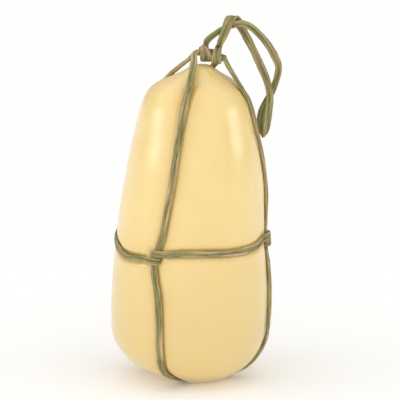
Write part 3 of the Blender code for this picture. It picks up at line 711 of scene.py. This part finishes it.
rings = PROFILE[:: max(1, round(RING_STEP / PROFILE_STEP))]
rings = np.concatenate([rings, [(0.0, HEIGHT)]]) if rings[-1, 0] > 0.2 * MM else rings
outline_mesh = bpy.data.meshes.new("cheese_body")
outline_mesh.from_pydata([(r, 0, z) for r, z in rings], [(i, i + 1) for i in range(len(rings) - 1)], [])
cheese = bpy.data.objects.new("cheese_body", outline_mesh)
scene.collection.objects.link(cheese)
bpy.ops.object.select_all(action="DESELECT")
cheese.select_set(True)
bpy.context.view_layer.objects.active = cheese
bpy.ops.object.mode_set(mode="EDIT")
bpy.ops.mesh.select_all(action="SELECT")
bpy.ops.mesh.spin(steps=SPIN_STEPS, angle=2 * math.pi, center=(0, 0, 0), axis=(0, 0, 1))
bpy.ops.mesh.select_all(action="SELECT")
bpy.ops.mesh.remove_doubles(threshold=MERGE_DISTANCE)
bpy.ops.mesh.normals_make_consistent(inside=False)
bpy.ops.object.mode_set(mode="OBJECT")


def seat_line(rows):
    """The line on the plain surface that a cord lies over, with how deep it presses there."""
    far = lengths_along(rows[:, :3])
    stations = np.arange(0, far[-1], 1.0 * MM)
    x, y, z, thick = (np.interp(stations, far, rows[:, k]) for k in (0, 1, 2, 7))
    surface_height = z
    for _ in range(3):
        across = x - smooth_values(surface_height, LEAN, MM)
        r = np.hypot(across, y)
        nearest = ((r[:, None] - PROFILE[:, 0]) ** 2 + (z[:, None] - PROFILE[:, 1]) ** 2).argmin(axis=1)
        surface_height = PROFILE[nearest, 1]
    point, out, _, _ = place(np.degrees(np.arctan2(across, -y)), nearest * PROFILE_STEP)
    lift = ((np.column_stack([x, y, z]) - point) * out).sum(axis=1)
    return point, thick / 2 + 0.1 * MM - lift


def beside_line(points, line):
    """How far each point lies beside a line of places, and the nearest place's number."""
    search = KDTree(len(line))
    for number, at in enumerate(line):
        search.insert(at, number)
    search.balance()
    number = np.array([search.find(p)[1] for p in points])
    ahead = np.gradient(line, axis=0)
    step = np.linalg.norm(ahead, axis=1)[:, None]
    ahead = ahead / step
    from_place = points - line[number]
    slid = np.clip((from_place * ahead[number]).sum(axis=1), -0.5 * MM, 0.5 * MM)
    return np.linalg.norm(from_place - slid[:, None] * ahead[number], axis=1), number


count = len(cheese.data.vertices)
spun = np.zeros(count * 3)
cheese.data.vertices.foreach_get("co", spun)
spun = spun.reshape(-1, 3)
r_spun = np.hypot(spun[:, 0], spun[:, 1])
azimuth_spun = np.degrees(np.arctan2(spun[:, 0], -spun[:, 1]))
rz_spun = np.column_stack([r_spun, spun[:, 2]])
ring_number = np.array([np.argmin(((PROFILE - rz) ** 2).sum(axis=1)) for rz in rz_spun])
points, outward, _, _ = place(azimuth_spun, ring_number * PROFILE_STEP)
pole = r_spun < POLE_RADIUS
outward[pole] = np.where(spun[pole, 2:] > HEIGHT / 2, 1, -1) * np.array([0, 0, 1])

depth = np.zeros(count)
swell = np.zeros(count)
# Painted shade: how much darker orange goes into the channels and furrows beside the cords
furrow_shade = np.zeros(count)
for rows in (front_sling_rows, side_sling_rows, band_rows):
    line, press = seat_line(rows)
    beside, number = beside_line(points, line)
    press = np.clip(press[number], 0, None)
    depth = np.maximum(depth, press * np.exp(-((beside / CHANNEL_WIDTH) ** 4)))
    swollen = np.exp(-(((beside - SWELL_REACH) / SWELL_WIDTH) ** 2))
    swell = np.maximum(swell, SWELL_SHARE * press * swollen)
    furrow_shade = np.maximum(furrow_shade, np.clip(press / MM, 0, 1) * np.exp(-((beside / FURROW_SHADE_WIDTH) ** 2)))
broad = np.zeros(count)
for name in STRANDS:
    line_stations = np.arange(FLAT_RADIUS, station_of(FURROW_TOP), 1 * MM)
    line = place(strand_azimuth(name, line_stations), line_stations)[0]
    beside, number = beside_line(points, line)
    hollow = smooth_values(line[number, 2], FURROW, MM) * np.exp(-((beside / FURROW_WIDTH) ** 2))
    hollow = hollow * FURROW_SHARE.get(name, 1.0)
    broad = np.maximum(broad, hollow)
    below_neck = np.clip((PLAIN_NECK - points[:, 2]) / (6 * MM), 0, 1)
    furrow_shade = np.maximum(furrow_shade, FURROW_SHADE_SHARE * hollow / MM * below_neck)

# Slow unevenness from the stretching, and short pleats where the neck was closed, both in mm
PLEATS_AT, PLEATS_REACH = 238.5, 3.4
height_mm = points[:, 2] / MM
turn_angle = np.radians(azimuth_spun)
uneven = 0.28 * np.sin(2 * turn_angle + height_mm / 31) * np.sin(height_mm / 23 + 1.0)
uneven += 0.16 * np.sin(5 * turn_angle - height_mm / 17 + 2.0) * np.sin(height_mm / 13)
uneven *= np.clip(height_mm / 12, 0, 1) * np.clip((HEIGHT / MM - height_mm) / 20, 0, 1)
pleats = 0.14 * np.sin(13 * turn_angle + 0.35 * height_mm) + 0.10 * np.sin(7 * turn_angle)
pleats *= np.exp(-(((height_mm - PLEATS_AT) / PLEATS_REACH) ** 2)) * np.clip(r_spun / (6 * MM), 0, 1)
pressed_in = np.maximum(broad, depth) - swell * np.clip(1 - depth / (0.8 * MM), 0, 1)
points = points + ((uneven + pleats) * MM - pressed_in)[:, None] * outward
points[:, 2] = np.maximum(points[:, 2], 0)
cheese.data.vertices.foreach_set("co", points.astype(np.float32).ravel())
cheese.data.update()
cheese.data.shade_smooth()
add_attribute(cheese.data, "furrow_shade", np.clip(furrow_shade, 0, 1))

# Waxed rind: pale straw curd seen through a thin clear wax. Light goes a few millimetres
# in, so its shadows are soft and warm, and the wax gives broad, quiet highlights.
MOTTLE_SIZE = 24.0 * MM
RIPPLE_SIZE = 9.0 * MM
PORE_SIZE = 1.1 * MM
LOW_SHADE_FROM, LOW_SHADE_FULL_AT = 150 * MM, 10 * MM  # heights where the painted shade towards the base starts and is full
FURROW_SHADE_DARKNESS = 0.6
waxed_rind = bpy.data.materials.new("waxed_straw_rind")
waxed_rind.use_nodes = True
tree = waxed_rind.node_tree
rind_shader = tree.nodes["Principled BSDF"]
on_cheese = add_node(tree, "ShaderNodeTexCoord")
furrow_shade_at = add_node(tree, "ShaderNodeAttribute", {"attribute_name": "furrow_shade"})
mottle = add_node(
    tree, "ShaderNodeTexNoise", {},
    {"Vector": on_cheese.outputs["Object"], "Scale": 1 / MOTTLE_SIZE, "Detail": 4.0, "Roughness": 0.5},
)  # fmt: skip
plain_rind = add_node(tree, "ShaderNodeValToRGB", {}, {"Fac": mottle.outputs["Fac"]})
ramp = plain_rind.color_ramp
ramp.elements[0].position, ramp.elements[0].color = 0.32, linear("#f5d689")
ramp.elements[1].position, ramp.elements[1].color = 0.68, linear("#f8db91")
# Painted shade: the rind is mixed towards a duller straw towards the base, where less light reaches
up_cheese = add_node(tree, "ShaderNodeSeparateXYZ", {}, {"Vector": on_cheese.outputs["Object"]})
how_low = add_node(
    tree, "ShaderNodeMapRange", {"interpolation_type": "SMOOTHSTEP"},
    {"Value": up_cheese.outputs["Z"], 1: LOW_SHADE_FROM, 2: LOW_SHADE_FULL_AT},
)  # fmt: skip
rind_with_low_shade = add_node(
    tree, "ShaderNodeMix", {"data_type": "RGBA"},
    {0: how_low.outputs[0], 6: plain_rind.outputs[0], 7: linear("#e8cb80")},
)  # fmt: skip
# Painted shade: the channels and furrows beside the cords are mixed towards a darker orange
how_furrow_shaded = add_node(
    tree, "ShaderNodeMath", {"operation": "MULTIPLY"}, {0: furrow_shade_at.outputs["Fac"], 1: FURROW_SHADE_DARKNESS}
)
rind_colour = add_node(
    tree, "ShaderNodeMix", {"data_type": "RGBA"},
    {0: how_furrow_shaded.outputs[0], 6: rind_with_low_shade.outputs[2], 7: linear("#d9a548")},
)  # fmt: skip
pores = add_node(
    tree, "ShaderNodeTexNoise", {},
    {"Vector": on_cheese.outputs["Object"], "Scale": 1 / PORE_SIZE, "Detail": 2.0, "Roughness": 0.5},
)  # fmt: skip
ripples = add_node(
    tree, "ShaderNodeTexNoise", {},
    {"Vector": on_cheese.outputs["Object"], "Scale": 1 / RIPPLE_SIZE, "Detail": 2.0, "Roughness": 0.45},
)  # fmt: skip
ripple_bump = add_node(
    tree, "ShaderNodeBump", {}, {"Strength": 0.16, "Distance": 0.4 * MM, "Height": ripples.outputs["Fac"]}
)
pore_bump = add_node(
    tree, "ShaderNodeBump", {},
    {"Strength": 0.12, "Distance": 0.1 * MM, "Height": pores.outputs["Fac"], "Normal": ripple_bump.outputs[0]},
)  # fmt: skip
tree.links.new(rind_colour.outputs[2], rind_shader.inputs["Base Color"])
tree.links.new(pore_bump.outputs[0], rind_shader.inputs["Normal"])
rind_shader.inputs["Roughness"].default_value = 0.42
rind_shader.inputs["IOR"].default_value = 1.45
rind_shader.inputs["Subsurface Weight"].default_value = 0.25
rind_shader.inputs["Subsurface Radius"].default_value = (1.0, 0.6, 0.25)
rind_shader.inputs["Subsurface Scale"].default_value = 4.0 * MM
rind_shader.inputs["Coat Weight"].default_value = 0.9
rind_shader.inputs["Coat IOR"].default_value = 1.75
rind_shader.inputs["Coat Roughness"].default_value = 0.22
cheese.data.materials.append(waxed_rind)
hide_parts("cheese")
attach(cheese, "root")

# Floor and light. A white sheet in a white room, under a wide even ceiling light, with a
# soft light on each side that draws an upright highlight down the rind.
FLOOR_SIZE = 40.0
bpy.ops.object.select_all(action="DESELECT")
bpy.ops.mesh.primitive_plane_add(size=FLOOR_SIZE)
floor = bpy.context.object
floor.name = "floor"
white_sheet = bpy.data.materials.new("white_sheet")
white_sheet.use_nodes = True
sheet_shader = white_sheet.node_tree.nodes["Principled BSDF"]
sheet_shader.inputs["Base Color"].default_value = linear("#fbfbfa")
sheet_shader.inputs["Roughness"].default_value = 0.9
sheet_shader.inputs["Emission Color"].default_value = (1, 1, 1, 1)
sheet_shader.inputs["Emission Strength"].default_value = 0.14
floor.data.materials.append(white_sheet)

LIGHT_SPREAD = 50  # degrees
LIGHTS_CENTRE = Vector((0, 0, 160 * MM))
LIGHTS_AIM = Vector((0, 0, 290 * MM))  # above the shoulder, so that the heel is in the beam's edge
SUN_ANGLE, SUN_STRENGTH = 140, 1.7  # so wide that it lights like a whole ceiling
SUN_TILT, SUN_SIDE = 28, -12
ROOM_STRENGTH = 0.42
LIGHTS = {  # azimuth and elevation in degrees, distance, width and height in metres, watts
    "left_light": (-80, 15, 0.9, 0.54, 0.36, 0.12),
    "right_light": (84, 15, 0.9, 0.44, 0.28, 0.085),
}
for name, (azimuth, elevation, distance, wide, tall, watts) in LIGHTS.items():
    light_data = bpy.data.lights.new(name, "AREA")
    light_data.shape = "RECTANGLE"
    light_data.size, light_data.size_y, light_data.energy = wide, tall, watts
    light_data.spread = math.radians(LIGHT_SPREAD)
    light = bpy.data.objects.new(name, light_data)
    scene.collection.objects.link(light)
    a, e = math.radians(azimuth), math.radians(elevation)
    away = Vector((math.sin(a) * math.cos(e), -math.cos(a) * math.cos(e), math.sin(e)))
    light.location = LIGHTS_CENTRE + distance * away
    light.rotation_euler = (light.location - LIGHTS_AIM).to_track_quat("Z", "Y").to_euler()
sky_data = bpy.data.lights.new("ceiling_light", "SUN")
sky_data.angle = math.radians(SUN_ANGLE)
sky_data.energy = SUN_STRENGTH
ceiling_light = bpy.data.objects.new("ceiling_light", sky_data)
scene.collection.objects.link(ceiling_light)
ceiling_light.rotation_euler = (math.radians(SUN_TILT), 0, math.radians(SUN_SIDE))
room = bpy.data.worlds.new("white_room")
room.use_nodes = True
room.node_tree.nodes["Background"].inputs["Color"].default_value = (1, 1, 1, 1)
room.node_tree.nodes["Background"].inputs["Strength"].default_value = ROOM_STRENGTH
scene.world = room
